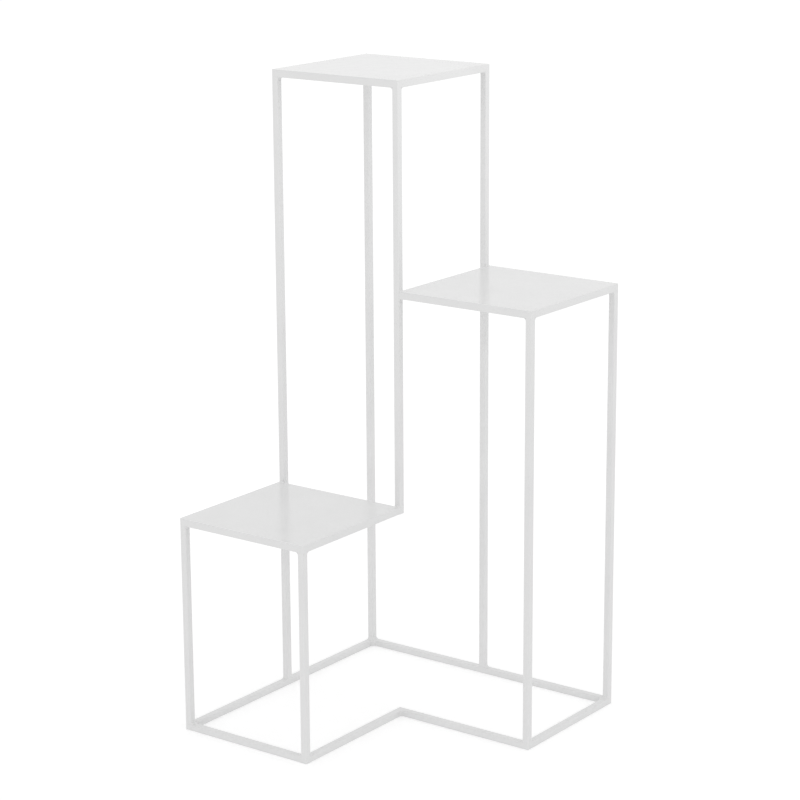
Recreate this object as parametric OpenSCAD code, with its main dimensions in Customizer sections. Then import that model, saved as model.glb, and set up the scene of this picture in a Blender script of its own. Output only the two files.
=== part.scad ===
// Three-tier corner plant stand.
// Square steel tube is welded into an L of three square columns, and each
// column carries a sheet steel shelf at its own height. The tall column stands
// in the corner of the L. The low and middle columns butt against two of its
// sides and share its posts, and the post in the crook of the L stops at the
// low shelf, so that the front of the base stays open.
// Millimetres, Z up. The origin is the middle of the footprint's box, on the floor.

/* [Footprint] */
// Width of the tall column and of the low shelf, along X
tower_w = 275; // [150:5:400]
// Depth of the tall column and of the middle shelf, along Y
tower_d = 275; // [150:5:400]
// Depth of the low shelf, along Y
low_d = 275; // [150:5:400]
// Width of the middle shelf, along X
mid_w = 275; // [150:5:400]

/* [Heights] */
// Top face of the low shelf above the floor
low_h = 395; // [200:1:500]
// Top face of the middle shelf above the floor
mid_h = 785; // [600:1:950]
// Top face of the top shelf above the floor
top_h = 1150; // [1050:1:1500]

/* [Tube] */
// Outer side of the square tube
tube_side = 12; // [8:1:20]
// Wall of the square tube
tube_wall = 1; // [0.8:0.1:2]
// Outer corner radius of the tube, and of the plates that lie on it
tube_corner_r = 1.2; // [0.4:0.1:1.5]

/* [Sheet] */
// Thickness of the shelf plates
plate_t = 1.5; // [1:0.1:4]
// Thickness of the plate that closes the short post's lower end
end_plate_t = 1; // [0.8:0.1:3]

/* [Welds] */
// Leg of the fillet welds between tubes
weld_leg = 5.5; // [2:0.1:8]
// Leg of the flat webs in the base's inner angles
base_web_leg = 9; // [4:0.5:16]
// Leg of the tack welds under the shelf plates
tack_leg = 2.5; // [1.6:0.1:4]
// Length of one tack weld under a shelf plate
tack_len = 20; // [10:1:40]
// Tack welds along each rail of a shelf
tacks_per_rail = 2; // [1:1:3]

/* [Hidden] */
$fn = 32;

// Lines of the footprint: outer faces of the L, and the two faces at its crook
left_x = -(tower_w + mid_w) / 2;
crook_x = left_x + tower_w;
right_x = crook_x + mid_w;
front_y = -(low_d + tower_d) / 2;
crook_y = front_y + low_d;
back_y = crook_y + tower_d;

// Underside of each shelf's frame of rails
function frame_z(shelf_h) = shelf_h - plate_t - tube_side;

// Outer corners of the base and of each shelf, anticlockwise from the front left
base_ring = [
    [left_x, front_y], [crook_x, front_y], [crook_x, crook_y],
    [right_x, crook_y], [right_x, back_y], [left_x, back_y]
];
function box_ring(x0, y0, x1, y1) = [[x0, y0], [x1, y0], [x1, y1], [x0, y1]];
low_ring = box_ring(left_x, front_y, crook_x, crook_y);
mid_ring = box_ring(crook_x, crook_y, right_x, back_y);
top_ring = box_ring(left_x, crook_y, crook_x, back_y);

// Near left corner of each post's footprint
tower_front_left = [left_x, crook_y];
tower_back_left = [left_x, back_y - tube_side];
tower_back_right = [crook_x - tube_side, back_y - tube_side];
tower_short = [crook_x - tube_side, crook_y];
low_front_left = [left_x, front_y];
low_front_right = [crook_x - tube_side, front_y];
mid_front_right = [right_x - tube_side, crook_y];
mid_back_right = [right_x - tube_side, back_y - tube_side];

// Length of a weld that lies on the flat of a tube, between its round corners
flat_len = tube_side - 2 * tube_corner_r;

// Directions in plan
east = [1, 0];
north = [0, 1];
west = [-1, 0];
south = [0, -1];

function corner(ring, i) = ring[(i + len(ring)) % len(ring)];
function along(ring, i) =
    let (step = corner(ring, i + 1) - corner(ring, i)) step / norm(step);
function inward(ring, i) = let (d = along(ring, i)) [-d[1], d[0]];
function towards_inside(ring, i) = inward(ring, i - 1) + inward(ring, i);
function inner_corner(ring, i) = corner(ring, i) + tube_side * towards_inside(ring, i);
function heading(direction) = atan2(direction[1], direction[0]);

// Two rails meet in an upright edge, and in an angle on the other side of the tube.
// The edge is the outer one where the ring turns left, and the inner one at the crook.
function turn(ring, i) = cross(along(ring, i - 1), along(ring, i));
function upright_edge(ring, i) = turn(ring, i) > 0 ? corner(ring, i) : inner_corner(ring, i);
function angle_point(ring, i) = turn(ring, i) > 0 ? inner_corner(ring, i) : corner(ring, i);
function from_edge_to_angle(ring, i) = turn(ring, i) * towards_inside(ring, i);

module paint() color([0.87, 0.87, 0.87]) children();

// Rectangle with round corners, its near left corner at the origin
module round_rect(w, d, r) {
    translate([r, 0]) square([w - 2 * r, d]);
    translate([0, r]) square([w, d - 2 * r]);
    for (x = [r, w - r], y = [r, d - r]) translate([x, y]) circle(r = r);
}

module tube_section() {
    bore = tube_side - 2 * tube_wall;
    difference() {
        round_rect(tube_side, tube_side, tube_corner_r);
        translate([tube_wall, tube_wall]) square(bore);
    }
}

module post(at, z_low, z_high)
    translate([at[0], at[1], z_low])
        linear_extrude(height = z_high - z_low) tube_section();

// What a quarter circle leaves of the corner between +X and +Y: the section of a
// hollow fillet weld, and of what rounding takes off an edge
module hollow_corner(leg)
    difference() {
        square(leg);
        translate([leg, leg]) circle(r = leg);
    }

// Section of a flat weld in the corner between +X and +Y
module flat_corner(leg) polygon([[0, 0], [leg, 0], [0, leg]]);

// Raises a section upright at a point, its legs running towards the signs of quadrant
module upright_corner(at, quadrant, z, height)
    translate([at[0], at[1], z])
        mirror([quadrant[0] < 0 ? 1 : 0, 0, 0])
            mirror([0, quadrant[1] < 0 ? 1 : 0, 0])
                linear_extrude(height = height) children();

// One rail of a ring of tube, from the ring's corner i to the next one, mitred at
// both ends, with the mitred edges ground as round as the tube's own
module rail(ring, i, z) {
    start = corner(ring, i);
    end = corner(ring, i + 1);
    length = norm(end - start);
    difference() {
        intersection() {
            translate([start[0], start[1], z])
                rotate([0, 0, heading(end - start)])
                    translate([-tube_side, 0, 0])
                        rotate([90, 0, 90])
                            linear_extrude(height = length + 2 * tube_side) tube_section();
            translate([0, 0, z])
                linear_extrude(height = tube_side)
                    polygon([start, end, inner_corner(ring, i + 1), inner_corner(ring, i)]);
        }
        for (k = [i, i + 1])
            upright_corner(upright_edge(ring, k), from_edge_to_angle(ring, k), z, tube_side)
                hollow_corner(tube_corner_r);
    }
}

module shelf_plate(ring, shelf_h) {
    size = ring[2] - ring[0];
    translate([ring[0][0], ring[0][1], shelf_h - plate_t])
        linear_extrude(height = plate_t) round_rect(size[0], size[1], tube_corner_r);
}

// Upright fillet weld in an angle between two tubes whose undersides are at z
module upright_weld(at, quadrant, z)
    upright_corner(at, quadrant, z + tube_corner_r, flat_len) hollow_corner(weld_leg);

// Level fillet weld from a post's face to a rail: the face looks along direction,
// and the weld grows up from the level z, or down from it where up is -1
module level_weld(post_at, direction, z, up)
    translate([post_at[0] + tube_side / 2, post_at[1] + tube_side / 2, z])
        rotate([0, 0, heading(direction)])
            translate([tube_side / 2, 0, 0])
                mirror([0, 0, up < 0 ? 1 : 0])
                    rotate([90, 0, 0])
                        linear_extrude(height = flat_len, center = true)
                            hollow_corner(weld_leg);

module post_welds(post_at, directions, z, up)
    for (direction = directions) level_weld(post_at, direction, z, up);

// Welds in the angles of a ring, where its rails meet
module ring_corner_welds(ring, z)
    for (i = [0:len(ring) - 1])
        upright_weld(angle_point(ring, i), from_edge_to_angle(ring, i), z);

// Tack welds between a plate's underside and the inner faces of its rails
module plate_welds(ring, shelf_h)
    for (i = [0:len(ring) - 1], k = [1:tacks_per_rail]) {
        start = inner_corner(ring, i);
        end = inner_corner(ring, i + 1);
        middle = start + (end - start) * (k - 0.5) / tacks_per_rail;
        translate([middle[0], middle[1], shelf_h - plate_t])
            rotate([0, 0, heading(inward(ring, i))])
                mirror([0, 0, 1])
                    rotate([90, 0, 0])
                        linear_extrude(height = tack_len, center = true)
                            hollow_corner(tack_leg);
    }

module base_front_rail() paint() rail(base_ring, 0, 0);
module base_crook_side_rail() paint() rail(base_ring, 1, 0);
module base_crook_front_rail() paint() rail(base_ring, 2, 0);
module base_right_rail() paint() rail(base_ring, 3, 0);
module base_back_rail() paint() rail(base_ring, 4, 0);
module base_left_rail() paint() rail(base_ring, 5, 0);

module tower_front_left_post() paint() post(tower_front_left, tube_side, frame_z(top_h));
module tower_back_left_post() paint() post(tower_back_left, tube_side, frame_z(top_h));
module tower_back_right_post() paint() post(tower_back_right, tube_side, frame_z(top_h));
module tower_short_post()
    paint() post(tower_short, frame_z(low_h) + end_plate_t, frame_z(top_h));
module low_front_left_post() paint() post(low_front_left, tube_side, frame_z(low_h));
module low_front_right_post() paint() post(low_front_right, tube_side, frame_z(low_h));
module mid_front_right_post() paint() post(mid_front_right, tube_side, frame_z(mid_h));
module mid_back_right_post() paint() post(mid_back_right, tube_side, frame_z(mid_h));

// Closes the short post's open end, level with the underside of the low frame
module short_post_end_plate()
    paint()
        translate([tower_short[0], tower_short[1], frame_z(low_h)])
            linear_extrude(height = end_plate_t)
                round_rect(tube_side, tube_side, tube_corner_r);

module low_front_rail() paint() rail(low_ring, 0, frame_z(low_h));
module low_right_rail() paint() rail(low_ring, 1, frame_z(low_h));
module low_back_rail() paint() rail(low_ring, 2, frame_z(low_h));
module low_left_rail() paint() rail(low_ring, 3, frame_z(low_h));
module mid_front_rail() paint() rail(mid_ring, 0, frame_z(mid_h));
module mid_right_rail() paint() rail(mid_ring, 1, frame_z(mid_h));
module mid_back_rail() paint() rail(mid_ring, 2, frame_z(mid_h));
module mid_left_rail() paint() rail(mid_ring, 3, frame_z(mid_h));
module top_front_rail() paint() rail(top_ring, 0, frame_z(top_h));
module top_right_rail() paint() rail(top_ring, 1, frame_z(top_h));
module top_back_rail() paint() rail(top_ring, 2, frame_z(top_h));
module top_left_rail() paint() rail(top_ring, 3, frame_z(top_h));

module low_shelf_plate() paint() shelf_plate(low_ring, low_h);
module mid_shelf_plate() paint() shelf_plate(mid_ring, mid_h);
module top_shelf_plate() paint() shelf_plate(top_ring, top_h);

// The base's inner angles have flat webs, and the angle at the crook has a plain fillet
module base_corner_welds()
    paint()
        for (i = [0:len(base_ring) - 1]) {
            at = angle_point(base_ring, i);
            quadrant = from_edge_to_angle(base_ring, i);
            if (turn(base_ring, i) > 0)
                upright_corner(at, quadrant, tube_corner_r, flat_len) flat_corner(base_web_leg);
            else
                upright_weld(at, quadrant, 0);
        }

module post_foot_welds()
    paint() {
        post_welds(tower_front_left, [north, south], tube_side, 1);
        post_welds(tower_back_right, [east, west], tube_side, 1);
        post_welds(tower_back_left, [east, south], tube_side, 1);
        post_welds(low_front_left, [east, north], tube_side, 1);
        post_welds(low_front_right, [west, north], tube_side, 1);
        post_welds(mid_front_right, [west, north], tube_side, 1);
        post_welds(mid_back_right, [west, south], tube_side, 1);
    }

module low_frame_welds()
    paint() {
        z = frame_z(low_h);
        ring_corner_welds(low_ring, z);
        post_welds(low_front_left, [east, north], z, -1);
        post_welds(low_front_right, [west, north], z, -1);
        post_welds(tower_front_left, [south], z, -1);
        upright_weld([left_x + tube_side, crook_y], east + north, z);
        upright_weld([crook_x - tube_side, crook_y], west + north, z);
    }

module mid_frame_welds()
    paint() {
        z = frame_z(mid_h);
        ring_corner_welds(mid_ring, z);
        post_welds(mid_front_right, [west, north], z, -1);
        post_welds(mid_back_right, [west, south], z, -1);
        post_welds(tower_short, [east], z, -1);
        post_welds(tower_back_right, [east], z, -1);
        upright_weld([crook_x, crook_y + tube_side], west + north, z);
        upright_weld([crook_x, back_y - tube_side], west + south, z);
    }

module top_frame_welds()
    paint() {
        z = frame_z(top_h);
        ring_corner_welds(top_ring, z);
        post_welds(tower_front_left, [east, north], z, -1);
        post_welds(tower_short, [west, north], z, -1);
        post_welds(tower_back_right, [west, south], z, -1);
        post_welds(tower_back_left, [east, south], z, -1);
    }

module low_plate_welds() paint() plate_welds(low_ring, low_h);
module mid_plate_welds() paint() plate_welds(mid_ring, mid_h);
module top_plate_welds() paint() plate_welds(top_ring, top_h);

base_front_rail();
base_crook_side_rail();
base_crook_front_rail();
base_right_rail();
base_back_rail();
base_left_rail();
tower_front_left_post();
tower_back_left_post();
tower_back_right_post();
tower_short_post();
short_post_end_plate();
low_front_left_post();
low_front_right_post();
mid_front_right_post();
mid_back_right_post();
low_front_rail();
low_right_rail();
low_back_rail();
low_left_rail();
mid_front_rail();
mid_right_rail();
mid_back_rail();
mid_left_rail();
top_front_rail();
top_right_rail();
top_back_rail();
top_left_rail();
low_shelf_plate();
mid_shelf_plate();
top_shelf_plate();
base_corner_welds();
post_foot_welds();
low_frame_welds();
mid_frame_welds();
top_frame_welds();
low_plate_welds();
mid_plate_welds();
top_plate_welds();
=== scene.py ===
# Looks of the tiered plant stand: powder coated tube and sheet, painted welds, floor, light and camera.
import math
import random

import bmesh
import bpy
from mathutils import Matrix, Vector, noise


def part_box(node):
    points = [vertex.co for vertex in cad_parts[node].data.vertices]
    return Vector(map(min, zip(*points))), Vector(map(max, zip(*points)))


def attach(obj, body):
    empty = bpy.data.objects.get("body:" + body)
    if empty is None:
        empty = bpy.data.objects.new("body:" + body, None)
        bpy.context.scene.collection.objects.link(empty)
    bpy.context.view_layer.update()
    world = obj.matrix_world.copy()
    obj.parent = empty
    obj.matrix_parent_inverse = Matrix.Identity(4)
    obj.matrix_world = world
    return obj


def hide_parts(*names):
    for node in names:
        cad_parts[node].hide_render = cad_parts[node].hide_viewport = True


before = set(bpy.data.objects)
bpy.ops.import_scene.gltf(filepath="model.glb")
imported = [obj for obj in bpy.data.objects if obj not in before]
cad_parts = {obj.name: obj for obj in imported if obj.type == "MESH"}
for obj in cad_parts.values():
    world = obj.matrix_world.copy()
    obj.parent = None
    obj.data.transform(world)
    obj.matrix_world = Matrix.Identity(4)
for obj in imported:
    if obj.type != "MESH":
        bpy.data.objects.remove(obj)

random.seed(7)
MM = 0.001
BODY = "root"
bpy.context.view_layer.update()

# The tube's side, from the plate that closes its end
end_low, end_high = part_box("short_post_end_plate")
TUBE = end_high.x - end_low.x

# Round of the tube's and the sheet's corners, as in the part's source
CORNER = 1.2 * MM

SHELVES = ("low", "mid", "top")
WELD_NODES = (
    "base_corner_welds", "post_foot_welds",
    "low_frame_welds", "mid_frame_welds", "top_frame_welds",
    "low_plate_welds", "mid_plate_welds", "top_plate_welds",
)
EAST, NORTH, UP = Vector((1, 0, 0)), Vector((0, 1, 0)), Vector((0, 0, 1))
WEST, SOUTH = -EAST, -NORTH
AXES = (EAST, NORTH, UP)


# Node trees

def add_node(tree, kind, **values):
    """Adds a node; a value sets the socket or the property of that name, and a socket links to it."""
    made = tree.nodes.new(kind)
    for name, value in values.items():
        label = name.replace("_", " ")
        socket = made.inputs.get(label) or made.inputs.get(label.title())
        if isinstance(value, bpy.types.NodeSocket):
            tree.links.new(value, socket)
        elif hasattr(made, name):
            setattr(made, name, value)
        else:
            socket.default_value = value
    return made


def new_tree(name):
    material = bpy.data.materials.new(name)
    material.use_nodes = True
    material.node_tree.nodes.clear()
    return material, material.node_tree


# Where nearly all of a noise texture's values lie
NOISE_LOW = 0.3
NOISE_HIGH = 0.7


def noise_value(tree, place, scale, low, high, detail=2.0, roughness=0.5):
    """Soft noise of that many lumps a metre, as a number from low to high."""
    lumps = add_node(
        tree, "ShaderNodeTexNoise", Vector=place, Scale=scale, Detail=detail, Roughness=roughness)
    return add_node(
        tree, "ShaderNodeMapRange", Value=lumps.outputs["Fac"], From_Min=NOISE_LOW, From_Max=NOISE_HIGH,
        To_Min=low, To_Max=high).outputs["Result"]


def linked_math(tree, operation, first, second):
    made = tree.nodes.new("ShaderNodeMath")
    made.operation = operation
    for socket, value in zip(made.inputs, (first, second)):
        if isinstance(value, bpy.types.NodeSocket):
            tree.links.new(value, socket)
        else:
            socket.default_value = value
    return made.outputs[0]


def bump_layer(tree, place, lumps, depth, detail, roughness, below=None):
    """Bumps of that many lumps a metre on top of the layer below; gives the bent normal."""
    height = add_node(
        tree, "ShaderNodeTexNoise", Vector=place, Scale=lumps, Detail=detail, Roughness=roughness)
    bump = add_node(tree, "ShaderNodeBump", Height=height.outputs["Fac"], Distance=depth, Strength=1.0)
    if below:
        tree.links.new(below, bump.inputs["Normal"])
    return bump.outputs["Normal"]


# Each layer of the coat: its lumps a metre, and how far it raises and lowers shade or roughness
MOTTLE_LUMPS = 14.0
MOTTLE_RANGE = (0.985, 1.012)
SPECKLE_LUMPS = 260.0
SPECKLE_RANGE = (0.992, 1.006)
GLOSS_LUMPS = 42.0
GLOSS_RANGE = (0.88, 1.14)
PEEL_LUMPS = 430.0
RIPPLE_LUMPS = 900.0
WAVE_LUMPS = 34.0
COAT_IOR = 1.5


def powder_coat(name, shade, roughness, peel_depth, wave_depth=0.0, ripple_depth=0.0):
    """Satin white powder coat: orange peel, faint mottling, slightly uneven gloss."""
    material, tree = new_tree(name)
    place = add_node(tree, "ShaderNodeTexCoord").outputs["Object"]
    mottle = noise_value(tree, place, MOTTLE_LUMPS, *MOTTLE_RANGE, detail=3.0)
    speckle = noise_value(tree, place, SPECKLE_LUMPS, *SPECKLE_RANGE)
    grey = linked_math(tree, "MULTIPLY", linked_math(tree, "MULTIPLY", mottle, speckle), shade)
    colour = tree.nodes.new("ShaderNodeCombineColor")
    for socket in colour.inputs:
        tree.links.new(grey, socket)
    least, most = (roughness * share for share in GLOSS_RANGE)
    gloss = noise_value(tree, place, GLOSS_LUMPS, least, most, detail=3.0)
    normal = bump_layer(tree, place, PEEL_LUMPS, peel_depth, 2.0, 0.45)
    if ripple_depth:
        normal = bump_layer(tree, place, RIPPLE_LUMPS, ripple_depth, 3.0, 0.6, below=normal)
    if wave_depth:
        normal = bump_layer(tree, place, WAVE_LUMPS, wave_depth, 1.0, 0.4, below=normal)
    shader = add_node(
        tree, "ShaderNodeBsdfPrincipled", Base_Color=colour.outputs["Color"], Roughness=gloss,
        Normal=normal, IOR=COAT_IOR)
    output = tree.nodes.new("ShaderNodeOutputMaterial")
    tree.links.new(shader.outputs["BSDF"], output.inputs["Surface"])
    return material


tube_paint = powder_coat(
    "tube_powder_coat", shade=0.81, roughness=0.36, peel_depth=0.020 * MM, wave_depth=0.05 * MM)
# The sheet wears the same white coat as the tube, but its shade is a little lighter: its own colour plus
# painted light that brightens the upward-facing shelves.
sheet_paint = powder_coat(
    "sheet_coat_with_painted_light", shade=0.82, roughness=0.18, peel_depth=0.012 * MM, wave_depth=0.05 * MM)
weld_paint = powder_coat(
    "weld_powder_coat", shade=0.81, roughness=0.38, peel_depth=0.020 * MM, ripple_depth=0.05 * MM)


# Mesh helpers

def make_piece(name, mesh, material, slot, *stands_for):
    """A finished bmesh as a smooth piece of the stand."""
    bmesh.ops.recalc_face_normals(mesh, faces=mesh.faces)
    data = bpy.data.meshes.new(name)
    mesh.to_mesh(data)
    mesh.free()
    data.polygons.foreach_set("use_smooth", [True] * len(data.polygons))
    data.materials.append(material)
    piece = bpy.data.objects.new(name, data)
    bpy.context.scene.collection.objects.link(piece)
    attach(piece, BODY)
    if stands_for:
        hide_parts(*stands_for)
    return piece


def bridge(mesh, first, second, closed):
    """Quads between two rows of as many vertices."""
    count = len(first)
    for k in range(count if closed else count - 1):
        nxt = (k + 1) % count
        mesh.faces.new((first[k], first[nxt], second[nxt], second[k]))


def close_rows(mesh, rows):
    """A closed skin over rows of as many vertices each."""
    for first, second in zip(rows, rows[1:]):
        bridge(mesh, first, second, closed=True)
    mesh.faces.new(rows[0])
    mesh.faces.new(rows[-1])


def unevenness(seed, at, scale):
    """Smooth noise from -1 to 1 along a line, the same at every run. The scale is about its lumps a metre.
    A seed is any number: it only keeps the noise of different pieces apart."""
    return noise.noise(Vector((at * scale, seed * 7.31, seed * 1.77)))


# Shelves: sheet with dressed edges, a little uneven, as flat as thin sheet lies on its frame

EDGE_ROUND = 0.45 * MM
EDGE_WAVE = 0.14 * MM
SHEET_DIP = 0.28 * MM
FLAT_RIM = 14 * MM
DIP_RUN = 50 * MM
DIP_LEAST = 0.45
DIP_LUMPS = 11
UNDERSIDE_DIP = 0.9
GRID_INSET = CORNER + 0.2 * MM
CELLS = 56
CORNER_STEPS = 5
EDGE_STEPS = 4
EDGE_FADE_RINGS = 3
EDGE_LUMPS = 0.23


def edge_profile(thickness):
    """From the top face round the edge to the bottom face: how far in from the side, and how far down."""
    turns = [math.pi / 2 * k / EDGE_STEPS for k in range(EDGE_STEPS + 1)]
    upper = [(EDGE_ROUND * (1 - math.sin(t)), EDGE_ROUND * (1 - math.cos(t))) for t in turns]
    lower = [(inset, thickness - down) for inset, down in reversed(upper)]
    return upper + lower


def dip_at(x, y, low, high, seed):
    """How far the sheet sags there below its flat rim. The dip grows inwards over its run."""
    to_rim = min(x - low.x, high.x - x, y - low.y, high.y - y)
    share = min(1.0, max(0.0, (to_rim - FLAT_RIM) / DIP_RUN))
    share = share * share * (3 - 2 * share)
    lumps = 0.5 + 0.5 * noise.noise(Vector((x * DIP_LUMPS, y * DIP_LUMPS, seed)))
    return SHEET_DIP * share * (DIP_LEAST + (1 - DIP_LEAST) * lumps)


def shelf_sheet(level, seed):
    """A grid above and one below, and between them rings that run round the dressed edge."""
    low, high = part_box(level + "_shelf_plate")
    thickness = high.z - low.z
    mesh = bmesh.new()
    width, depth = high.x - low.x - 2 * GRID_INSET, high.y - low.y - 2 * GRID_INSET

    def field(z_of):
        return [[mesh.verts.new((x, y, z_of(x, y)))
                 for x in (low.x + GRID_INSET + width * i / CELLS for i in range(CELLS + 1))]
                for y in (low.y + GRID_INSET + depth * j / CELLS for j in range(CELLS + 1))]

    top = field(lambda x, y: high.z - dip_at(x, y, low, high, seed))
    bottom = field(lambda x, y: low.z - dip_at(x, y, low, high, seed) * UNDERSIDE_DIP)
    for rows in (top, bottom):
        for j in range(CELLS):
            bridge(mesh, rows[j], rows[j + 1], closed=False)

    def rim(rows):
        """The grid's outermost vertices, once round."""
        right, left = [row[-1] for row in rows[:-1]], [row[0] for row in rows[:0:-1]]
        return rows[0][:-1] + right + rows[-1][:0:-1] + left

    def ring(inward, down, from_face):
        """The rim moved out to the side face; each corner becomes an arc. Gives one list per rim vertex."""
        made = []
        near = GRID_INSET * 1.01
        fade = min(1.0, from_face / EDGE_FADE_RINGS)
        for k, vert in enumerate(rim(top)):
            out_x = (vert.co.x > high.x - near) - (vert.co.x < low.x + near)
            out_y = (vert.co.y > high.y - near) - (vert.co.y < low.y + near)
            wave = EDGE_WAVE * (0.5 + 0.5 * unevenness(seed + 3, k, EDGE_LUMPS)) * fade
            if out_x and out_y:
                radius = CORNER - inward - wave
                to_centre = GRID_INSET - CORNER
                centre = Vector((vert.co.x + out_x * to_centre, vert.co.y + out_y * to_centre, 0))
                first = math.atan2(out_y, out_x) - math.pi / 4
                turns = (first + math.pi / 2 * n / CORNER_STEPS for n in range(CORNER_STEPS + 1))
                spots = [centre + Vector((math.cos(a), math.sin(a), 0)) * radius for a in turns]
            else:
                reach = GRID_INSET - inward - wave
                spots = [Vector((vert.co.x + out_x * reach, vert.co.y + out_y * reach, 0))]
            made.append([mesh.verts.new((s.x, s.y, high.z - down)) for s in spots])
        return made

    profile = edge_profile(thickness)
    last = len(profile) - 1
    rings = [ring(inward, down, min(k, last - k)) for k, (inward, down) in enumerate(profile)]
    flat = [[v for group in r for v in group] for r in rings]
    for upper, lower in zip(flat, flat[1:]):
        bridge(mesh, upper, lower, closed=True)
    for rows, groups in ((top, rings[0]), (bottom, rings[-1])):
        border = rim(rows)
        for k, group in enumerate(groups):
            for a, b in zip(group, group[1:]):
                mesh.faces.new((border[k], a, b))
            nxt = (k + 1) % len(groups)
            mesh.faces.new((border[k], group[-1], groups[nxt][0], border[nxt]))
    return make_piece(level + "_shelf_sheet", mesh, sheet_paint, "sheet_paint", level + "_shelf_plate")


for number, shelf in enumerate(SHELVES):
    shelf_sheet(shelf, 2.0 + 5.0 * number)


# Welds: every fillet of the frame as a painted web with soft ripples, in the solid's own place

BEAD_BITE = 0.08 * MM
RIPPLE_PITCH = 1.5 * MM
RIPPLE_HEIGHT = 0.05 * MM
RIPPLE_STEPS = 6
FEWEST_STEPS = 16
BEAD_TURNS = 10
OVER_CORNER = 0.8 * CORNER

# How full a bead's face is, from 0 for a hollow quarter circle to 1 for a flat. A solid with a leg over
# WEB_LEG is one of the base's flat webs. The higher TOE_FADE is, the softer a bead's toes meet the tube.
BEAD_FULLNESS = 0.20
WEB_FULLNESS = 0.78
WEB_LEG = 7 * MM
TOE_FADE = 1.8

# A bead's legs as shares of its solid's: at its ends, their gain from there, and over what share of a leg
END_REACH = 0.84
REACH_GAIN = 0.14
END_SWELL = 0.3

# Share of a depth that each leg has in it where the bead's face is diagonal
DIAGONAL = 0.7

# Unevenness along a bead, as shares, and its lumps a metre
REACH_WOBBLE = 0.04
REACH_LUMPS = 260
FULLNESS_WOBBLE = 0.08
FULLNESS_LUMPS = 180


def solids_of(name):
    """Lowest corner, highest corner and mean of the vertices of each separate solid of a CAD node."""
    places = {}
    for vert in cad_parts[name].data.vertices:
        places.setdefault(tuple(round(c, 6) for c in vert.co), []).append(vert.index)
    home = {index: place for place, members in places.items() for index in members}
    parent = {place: place for place in places}

    def root(place):
        while parent[place] != place:
            parent[place] = parent[parent[place]]
            place = parent[place]
        return place

    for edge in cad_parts[name].data.edges:
        a, b = (root(home[v]) for v in edge.vertices)
        parent[a] = b
    groups = {}
    for place in places:
        groups.setdefault(root(place), []).append(Vector(place))
    found = []
    for members in groups.values():
        low = Vector([min(p[k] for p in members) for k in range(3)])
        high = Vector([max(p[k] for p in members) for k in range(3)])
        found.append((low, high, sum(members, Vector()) / len(members)))
    return sorted(found, key=lambda f: tuple(round(c, 5) for c in f[0]))


def add_bead(mesh, low, high, mean, seed):
    """A fillet bead in the box of its solid. Its root is the box's edge nearest the mean of the vertices.
    A bead across a tube runs on over the start of the tube's round corners and falls away with them."""
    size = high - low
    middle = (low + high) / 2
    run = min(range(3), key=lambda k: abs(mean[k] - middle[k]) / size[k])
    legs = [k for k in range(3) if k != run]
    root = Vector([0, 0, 0])
    out = {}
    for k in legs:
        at_low = mean[k] < middle[k]
        root[k] = low[k] if at_low else high[k]
        out[k] = AXES[k] if at_low else -AXES[k]
    both = out[legs[0]] + out[legs[1]]
    leg = size[legs[0]]
    fullness = WEB_FULLNESS if leg > WEB_LEG else BEAD_FULLNESS
    beyond = OVER_CORNER if size[run] < TUBE else 0.0
    start, end = low[run] - beyond, high[run] + beyond
    steps = max(FEWEST_STEPS, round((end - start) / (RIPPLE_PITCH / RIPPLE_STEPS)))
    shift = random.uniform(0, RIPPLE_PITCH)
    rows = []
    for step in range(steps + 1):
        along = start + (end - start) * step / steps
        to_end = min(along - start, end - along)
        past_flat = max(0.0, beyond - to_end)
        fall = CORNER - math.sqrt(CORNER ** 2 - past_flat ** 2)
        swell = math.sqrt(max(0.0, 1 - (1 - min(1.0, to_end / (END_SWELL * leg))) ** 2))
        wobble = 1 + REACH_WOBBLE * unevenness(seed, along, REACH_LUMPS)
        reach = min(leg, leg * (END_REACH + REACH_GAIN * swell) * wobble)
        full = fullness + FULLNESS_WOBBLE * unevenness(seed + 1, along, FULLNESS_LUMPS)
        wave = 0.5 + 0.5 * math.cos(2 * math.pi * (along + shift) / RIPPLE_PITCH)
        ripple = RIPPLE_HEIGHT * wave * swell
        base = root + AXES[run] * (along - root[run]) - both * fall
        row = [base - both * BEAD_BITE]
        for k in range(BEAD_TURNS + 1):
            turn = math.pi / 2 * k / BEAD_TURNS
            hollow = (1 - math.sin(turn), 1 - math.cos(turn))
            chord = (1 - k / BEAD_TURNS, k / BEAD_TURNS)
            filled = full * (4 * chord[0] * chord[1]) ** TOE_FADE
            a, b = (h * (1 - filled) + c * filled for h, c in zip(hollow, chord))
            sunk = ripple * math.sin(2 * turn) * DIAGONAL
            along_a = a * reach - sunk - BEAD_BITE * (k == BEAD_TURNS)
            along_b = b * reach - sunk - BEAD_BITE * (k == 0)
            row.append(base + out[legs[0]] * along_a + out[legs[1]] * along_b)
        rows.append([mesh.verts.new(p) for p in row])
    close_rows(mesh, rows)


for number, node_name in enumerate(WELD_NODES):
    beads = bmesh.new()
    for count, (low, high, mean) in enumerate(solids_of(node_name)):
        add_bead(beads, low, high, mean, number * 20 + count)
    make_piece(node_name.replace("welds", "beads"), beads, weld_paint, "weld_paint", node_name)


# Lumps beside the fillets: their radius, and how far their middle lies inside the tubes
MEETING_SIZE = 3.7 * MM
MEETING_DEPTH = 1.0 * MM
MEETING_WOBBLE = 0.06

# Leg of the webs on the shelves
PLATE_BEAD_LEG = 2.2 * MM


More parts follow.
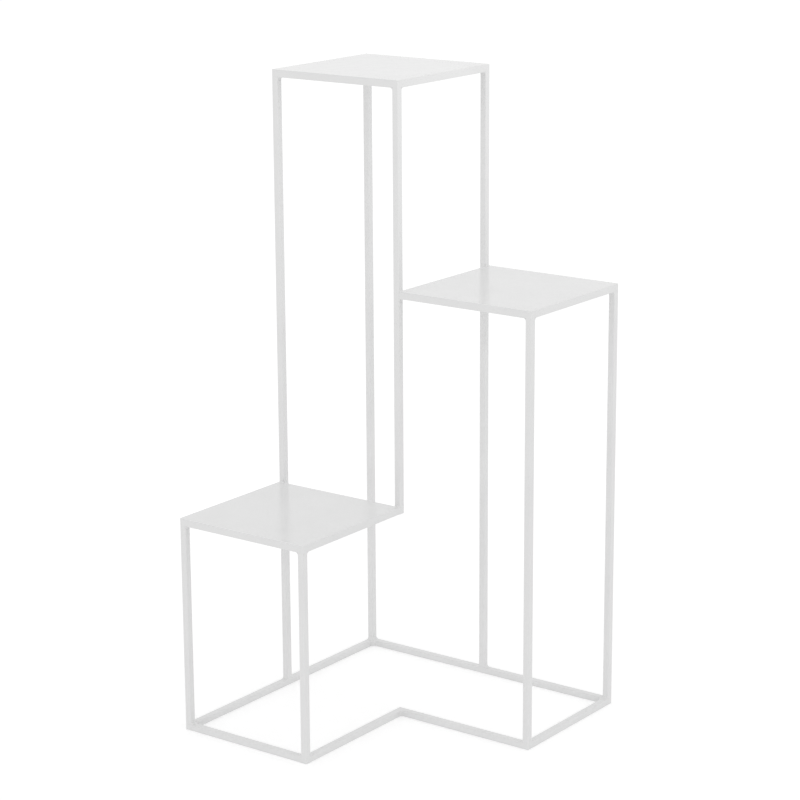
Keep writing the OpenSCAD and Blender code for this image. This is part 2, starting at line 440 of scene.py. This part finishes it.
def meeting_beads():
    """Lumps that close the pit where the fillets at a post's inner edge meet the weld between two rails.
    Three posts have it at the head only: two stand on a rail's middle, and one ends at the low shelf."""
    inner_side = {
        "low_front_left_post": (1, 1),
        "low_front_right_post": (-1, 1),
        "mid_front_right_post": (-1, 1),
        "mid_back_right_post": (-1, -1),
        "tower_back_left_post": (1, -1),
        "tower_front_left_post": (1, 1),
        "tower_back_right_post": (-1, -1),
        "tower_short_post": (-1, 1),
    }
    only_at_head = ("tower_front_left_post", "tower_back_right_post", "tower_short_post")
    mesh = bmesh.new()
    for number, (name, (side_x, side_y)) in enumerate(inner_side.items()):
        low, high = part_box(name)
        x = (high.x if side_x > 0 else low.x) - side_x * MEETING_DEPTH
        y = (high.y if side_y > 0 else low.y) - side_y * MEETING_DEPTH
        head, foot = high.z + MEETING_DEPTH, low.z - MEETING_DEPTH
        levels = [head] if name in only_at_head else [foot, head]
        for z in levels:
            made = bmesh.ops.create_icosphere(mesh, subdivisions=3, radius=MEETING_SIZE)
            for vert in made["verts"]:
                lumps = noise.noise(vert.co / MEETING_SIZE + Vector((number, 0, 11 * z)))
                vert.co = vert.co * (1 + MEETING_WOBBLE * lumps) + Vector((x, y, z))
    return make_piece("meeting_beads", mesh, weld_paint, "weld_paint")


def shelf_post_beads():
    """Small webs of weld and paint between the shelves' top faces and the posts beside them."""
    mesh = bmesh.new()
    places = (("tower_front_left_post", SOUTH, "low"), ("tower_short_post", SOUTH, "low"),
              ("tower_short_post", EAST, "mid"), ("tower_back_right_post", EAST, "mid"))
    for count, (post, out, level) in enumerate(places):
        post_low, post_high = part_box(post)
        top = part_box(level + "_shelf_plate")[1].z
        centre = (post_low + post_high) / 2
        root = Vector((centre.x, centre.y, top)) + out * TUBE / 2
        sideways = Vector((abs(out.y), abs(out.x), 0)) * (TUBE / 2 - CORNER)
        far = root + (out + UP) * PLATE_BEAD_LEG
        low = Vector([min(a, b) for a, b in zip(root, far)]) - sideways
        high = Vector([max(a, b) for a, b in zip(root, far)]) + sideways
        add_bead(mesh, low, high, root + (out + UP) * PLATE_BEAD_LEG / 4, 300 + 7 * count)
    return make_piece("shelf_post_beads", mesh, weld_paint, "weld_paint")


meeting_beads()
shelf_post_beads()


# Seams: welds dressed flush, which fill the grooves that the tube's round corners leave at butted joints

SEAM_DEPTH = 0.8 * MM
SEAM_SHY = 0.03 * MM
SEAM_EDGE_FALL = 0.12 * MM
SEAM_OVERLAP = 0.5 * MM
SEAM_FLANKS = 5
SEAM_ROWS = 8
SEAM_STEP = 0.7 * MM
SEAM_BUMP = 0.07 * MM
SEAM_LUMPS = 420
SEAM_ROW_SHIFT = 0.13
SHELF_SEAM_HOLLOW = 0.35 * MM
HOLLOW_SHARE = 0.35
HOLLOW_LUMPS = 38
TURN_STEPS = 5
FEWEST_STATIONS = 6

# Sides of a rectangle in plan, anticlockwise from the front
SIDES = (SOUTH, EAST, NORTH, WEST)


def straight_stations(start, end, out):
    """Points of a straight run on the outer surface, each with the direction that faces outwards there."""
    steps = max(FEWEST_STATIONS, round((end - start).length / SEAM_STEP))
    return [(start + (end - start) * k / steps, out) for k in range(steps + 1)]


def side_stations(low, high, z, first, count):
    """Stations at height z along so many sides of a box in plan, with its round corners.
    All four sides close up: the corner that comes first isn't begun twice."""
    corners = [Vector((x, y, z)) for x, y in
               ((low.x, low.y), (high.x, low.y), (high.x, high.y), (low.x, high.y))]

    def turn_stations(side):
        before, after = SIDES[side - 1], SIDES[side]
        centre = corners[side] - (before + after) * CORNER
        outs = [before * math.cos(t) + after * math.sin(t)
                for t in (math.pi / 2 * k / TURN_STEPS for k in range(TURN_STEPS + 1))]
        return [(centre + out * CORNER, out) for out in outs]

    all_round = count == 4
    stations = turn_stations(first)[-1:] if all_round else turn_stations(first)
    for side in (n % 4 for n in range(first, first + count)):
        back, ahead = SIDES[side - 1], SIDES[(side + 1) % 4]
        start, end = corners[side] - back * CORNER, corners[(side + 1) % 4] - ahead * CORNER
        flat = straight_stations(start, end, SIDES[side])
        stations += flat[1:] + turn_stations((side + 1) % 4)[1:]
    return stations


def add_seam(mesh, stations, across, seed, groove=(0.0, CORNER), hollow=0.0):
    """A filling along the stations. The groove's two values say where it lies from them, along across.
    The filling's flanks fall away, and here and there it lies deeper, by up to the hollow."""
    rows = []
    along = 0.0
    width = groove[1] - groove[0] + 2 * SEAM_OVERLAP
    for number, (point, out) in enumerate(stations):
        if number:
            along += (point - stations[number - 1][0]).length
        sunk = hollow * min(1.0, max(0.0, HOLLOW_SHARE + unevenness(seed + 50, along, HOLLOW_LUMPS)))
        row = []
        for k in range(SEAM_ROWS + 1):
            v = k / SEAM_ROWS
            bulge = min(1.0, min(v, 1 - v) * SEAM_FLANKS)
            lumps = SEAM_BUMP * (0.5 + 0.5 * unevenness(seed + k * SEAM_ROW_SHIFT, along, SEAM_LUMPS))
            inset = SEAM_SHY + lumps + sunk * bulge + (1 - bulge) * SEAM_EDGE_FALL
            row.append(point + across * (groove[0] - SEAM_OVERLAP + width * v) - out * inset)
        row.append(row[SEAM_ROWS] - out * SEAM_DEPTH)
        row.append(row[0] - out * SEAM_DEPTH)
        rows.append([mesh.verts.new(p) for p in row])
    close_rows(mesh, rows)


def post_seams():
    """Where a post ends flush with a rail's side: at its foot and its head, on the sides without a fillet.
    Each entry is a first side and the number of sides that the seam covers from there."""
    south, east, north, west = range(4)
    flush = {
        "tower_front_left_post": (((east, 1), (west, 1)), ((west, 2),)),
        "tower_back_left_post": (((north, 2),), ((north, 2),)),
        "tower_back_right_post": (((north, 1), (south, 1)), ((east, 2),)),
        "tower_short_post": ((), ((south, 2),)),
        "low_front_left_post": (((west, 2),), ((west, 2),)),
        "low_front_right_post": (((south, 2),), ((south, 2),)),
        "mid_front_right_post": (((south, 2),), ((south, 2),)),
        "mid_back_right_post": (((east, 2),), ((east, 2),)),
    }
    mesh = bmesh.new()
    for number, (name, (at_foot, at_head)) in enumerate(flush.items()):
        low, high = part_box(name)
        for z, across, runs in ((low.z, -UP, at_foot), (high.z, UP, at_head)):
            for first, count in runs:
                stations = side_stations(low, high, z, first, count)
                add_seam(mesh, stations, across, number * 9 + first + z)
    return make_piece("post_seams", mesh, weld_paint, "weld_paint")


def frame_seams():
    """Upright fillings where the round edge of a shelf's frame stands against the round edge of a post."""
    low_frame, mid_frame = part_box("low_left_rail"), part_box("mid_left_rail")
    low_top, mid_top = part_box("low_shelf_plate")[1].z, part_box("mid_shelf_plate")[1].z
    crook_x = mid_frame[0].x
    mesh = bmesh.new()
    places = (
        (crook_x, mid_frame[0].y, mid_frame[0].z, mid_top, SOUTH, EAST),
        (crook_x, mid_frame[1].y, mid_frame[0].z, mid_top, NORTH, EAST),
        (low_frame[0].x, low_frame[1].y, low_frame[0].z, low_top, WEST, NORTH),
        (crook_x, low_frame[1].y, low_frame[0].z, low_top, EAST, NORTH),
    )
    for number, (x, y, bottom, top, out, across) in enumerate(places):
        start = Vector((x, y, bottom + SEAM_OVERLAP))
        end = Vector((x, y, top - EDGE_ROUND))
        stations = straight_stations(start, end, out)
        add_seam(mesh, stations, across, 60 + 3.3 * number, groove=(-CORNER, CORNER))
    return make_piece("frame_seams", mesh, weld_paint, "weld_paint")


def shelf_seam(level, seed):
    """A dressed seam all round between a shelf's sheet and its rails, deeper in places."""
    low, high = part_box(level + "_shelf_plate")
    mesh = bmesh.new()
    add_seam(mesh, side_stations(low, high, low.z, 0, 4), -UP, seed, hollow=SHELF_SEAM_HOLLOW)
    return make_piece(level + "_shelf_seam", mesh, weld_paint, "weld_paint")


post_seams()
frame_seams()
for number, shelf in enumerate(SHELVES):
    shelf_seam(shelf, 100.0 + 200.0 * number)


# Mitres that no post covers: a low dressed ridge across the tube

RIDGE_WIDTH = 2.0 * MM
RIDGE_HEIGHT = 0.16 * MM
RIDGE_BITE = 0.03 * MM
RIDGE_DEPTH = 0.3 * MM
RIDGE_ROWS = 6
RIDGE_STEP = 0.6 * MM
RIDGE_DRIFT = 0.25 * MM
RIDGE_BENDS = 300
RIDGE_WOBBLE = 0.3
RIDGE_LUMPS = 700


def add_ridge(mesh, start, end, out, seed):
    """A low ridge from start to end that drifts a little sideways and fades in at both ends."""
    run = end - start
    sideways = run.cross(out).normalized()
    steps = max(FEWEST_STATIONS, round(run.length / RIDGE_STEP))
    rows = []
    for step in range(steps + 1):
        share = step / steps
        along = share * run.length
        swell = math.sqrt(max(0.0, 1 - (2 * share - 1) ** 8))
        drift = sideways * RIDGE_DRIFT * unevenness(seed, along, RIDGE_BENDS)
        row = []
        for k in range(RIDGE_ROWS + 1):
            v = 2 * k / RIDGE_ROWS - 1
            wobble = 1 + RIDGE_WOBBLE * unevenness(seed + k, along, RIDGE_LUMPS)
            height = RIDGE_HEIGHT * (1 - v * v) * swell * wobble
            foot = start + run * share + drift + sideways * v * RIDGE_WIDTH / 2
            row.append(foot + out * (height - RIDGE_BITE))
        row.append(row[RIDGE_ROWS] - out * RIDGE_DEPTH)
        row.append(row[0] - out * RIDGE_DEPTH)
        rows.append([mesh.verts.new(p) for p in row])
    close_rows(mesh, rows)


def mitre_seams():
    """The crook's mitre on top of the base, and the open mitres under the low and the middle shelf."""
    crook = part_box("base_crook_front_rail")
    low_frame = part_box("low_back_rail")
    mid_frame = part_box("mid_left_rail")
    inside = TUBE - CORNER
    mesh = bmesh.new()
    places = (
        (Vector((crook[0].x + TUBE, crook[0].y, crook[1].z)), Vector((-1, 1, 0)), UP),
        (Vector((low_frame[0].x, low_frame[1].y, low_frame[0].z)), Vector((1, -1, 0)), -UP),
        (Vector((low_frame[1].x, low_frame[1].y, low_frame[0].z)), Vector((-1, -1, 0)), -UP),
        (Vector((mid_frame[0].x, mid_frame[0].y, mid_frame[0].z)), Vector((1, 1, 0)), -UP),
        (Vector((mid_frame[0].x, mid_frame[1].y, mid_frame[0].z)), Vector((1, -1, 0)), -UP),
    )
    for number, (corner, inward, out) in enumerate(places):
        add_ridge(mesh, corner + inward * CORNER, corner + inward * inside, out, number * 3.7)
    return make_piece("mitre_seams", mesh, weld_paint, "weld_paint")


mitre_seams()


# Tubes and the short post's end plate: the CAD solids, painted

for cad_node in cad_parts.values():
    cad_node.data.materials.clear()
    cad_node.data.materials.append(tube_paint)


# Stage, light and camera

# Strengths of 1 are white. A fill's or the key's vector says where it comes from or looks at.
WHITE = (1.0, 1.0, 1.0, 1.0)
FLOOR_SIZE = 60.0
FLOOR_LIFT = 0.02 * MM
FLOOR_NEAR = 1.5 * MM
FLOOR_ALBEDO = 0.95
FLOOR_GLOW = 0.22
SKY_LIGHT = 0.85
FILL_SPREAD = 0.7
FRONT_FILL = 0.06
FRONT_FROM = Vector((-0.10, -1.00, 0.12))
SIDE_FILL = 0.055
SIDE_FROM = Vector((1.00, -0.25, 0.25))
KEY_PLACE = Vector((0.95, 0.14, 1.25))
KEY_AIM = Vector((0.00, 0.14, 1.12))
KEY_SIZE = 0.4
KEY_POWER = 0.11
KEY_SPREAD = math.radians(60)


def seen_directly(tree):
    """1 for rays from the camera or off a gloss or through glass, 0 for rays that carry light."""
    path = tree.nodes.new("ShaderNodeLightPath")
    seen = linked_math(tree, "MAXIMUM", path.outputs["Is Camera Ray"], path.outputs["Is Glossy Ray"])
    return linked_math(tree, "MAXIMUM", seen, path.outputs["Is Transmission Ray"])


def floor_material():
    """Pale diffuse floor that keeps the shadow, lifted to white where it is seen; clear from below.
    It lies a hair above the rails' undersides, and rays that start nearer than FLOOR_NEAR pass through it.
    So light from below reaches the undersides of rails and welds, and none of them is black from there."""
    material, tree = new_tree("floor_white")
    matte = add_node(tree, "ShaderNodeBsdfDiffuse", Color=(FLOOR_ALBEDO, FLOOR_ALBEDO, FLOOR_ALBEDO, 1.0))
    strength = linked_math(tree, "MULTIPLY", seen_directly(tree), FLOOR_GLOW)
    glow = add_node(tree, "ShaderNodeEmission", Color=WHITE, Strength=strength)
    both = tree.nodes.new("ShaderNodeAddShader")
    tree.links.new(matte.outputs[0], both.inputs[0])
    tree.links.new(glow.outputs[0], both.inputs[1])
    clear = tree.nodes.new("ShaderNodeBsdfTransparent")
    from_below = tree.nodes.new("ShaderNodeNewGeometry").outputs["Backfacing"]
    length = tree.nodes.new("ShaderNodeLightPath").outputs["Ray Length"]
    from_near = linked_math(tree, "LESS_THAN", length, FLOOR_NEAR)
    sides = tree.nodes.new("ShaderNodeMixShader")
    tree.links.new(linked_math(tree, "MAXIMUM", from_below, from_near), sides.inputs[0])
    tree.links.new(both.outputs[0], sides.inputs[1])
    tree.links.new(clear.outputs[0], sides.inputs[2])
    output = tree.nodes.new("ShaderNodeOutputMaterial")
    tree.links.new(sides.outputs[0], output.inputs["Surface"])
    return material


def make_floor():
    """A plain wide square."""
    mesh = bmesh.new()
    bmesh.ops.create_grid(mesh, x_segments=1, y_segments=1, size=FLOOR_SIZE / 2)
    data = bpy.data.meshes.new("floor")
    mesh.to_mesh(data)
    mesh.free()
    data.materials.append(floor_material())
    floor = bpy.data.objects.new("floor", data)
    floor.location.z = FLOOR_LIFT
    bpy.context.scene.collection.objects.link(floor)


def make_world():
    """An even sky, white where it is seen."""
    world = bpy.data.worlds.new("studio")
    bpy.context.scene.world = world
    world.use_nodes = True
    tree = world.node_tree
    tree.nodes.clear()
    level = linked_math(tree, "MULTIPLY_ADD", seen_directly(tree), 1.0 - SKY_LIGHT)
    level.node.inputs[2].default_value = SKY_LIGHT
    sky = add_node(tree, "ShaderNodeBackground", Color=WHITE, Strength=level)
    output = tree.nodes.new("ShaderNodeOutputWorld")
    tree.links.new(sky.outputs[0], output.inputs["Surface"])


def make_fill(name, strength, come_from):
    """A low, wide light; a face square to it gains so much of its colour as the strength says."""
    lamp = bpy.data.lights.new(name, "SUN")
    lamp.energy = strength * math.pi
    lamp.angle = FILL_SPREAD
    fill = bpy.data.objects.new(name, lamp)
    fill.rotation_euler = (-come_from).to_track_quat("-Z", "Y").to_euler()
    bpy.context.scene.collection.objects.link(fill)


def make_key():
    """A small soft box at the right of the tall column's head, which it lights more than the rest."""
    lamp = bpy.data.lights.new("key", "AREA")
    lamp.size = KEY_SIZE
    lamp.energy = KEY_POWER
    lamp.spread = KEY_SPREAD
    key = bpy.data.objects.new("key", lamp)
    key.location = KEY_PLACE
    key.rotation_euler = (KEY_AIM - KEY_PLACE).to_track_quat("-Z", "Y").to_euler()
    bpy.context.scene.collection.objects.link(key)


# The camera that fits the photograph: place, turn about Z, tilt down, roll, focal length and frame in mm
CAMERA_PLACE = Vector((2.530, -3.4071, 1.7032))
CAMERA_TURN = 0.6385
CAMERA_TILT = 0.2563
CAMERA_ROLL = -0.0058
CAMERA_LENS = 112.898
CAMERA_FRAME = 36.0


def make_camera():
    data = bpy.data.cameras.new("camera")
    data.lens = CAMERA_LENS
    data.sensor_width = CAMERA_FRAME
    camera = bpy.data.objects.new("camera", data)
    bpy.context.scene.collection.objects.link(camera)
    turn = Matrix.Rotation(CAMERA_TURN, 4, "Z")
    tilt = Matrix.Rotation(math.pi / 2 - CAMERA_TILT, 4, "X")
    roll = Matrix.Rotation(CAMERA_ROLL, 4, "Z")
    camera.matrix_world = Matrix.Translation(CAMERA_PLACE) @ turn @ tilt @ roll
    bpy.context.scene.camera = camera


make_floor()
make_world()
make_fill("front_fill", FRONT_FILL, FRONT_FROM)
make_fill("side_fill", SIDE_FILL, SIDE_FROM)
make_key()
make_camera()
bpy.context.scene.view_settings.view_transform = "Standard"
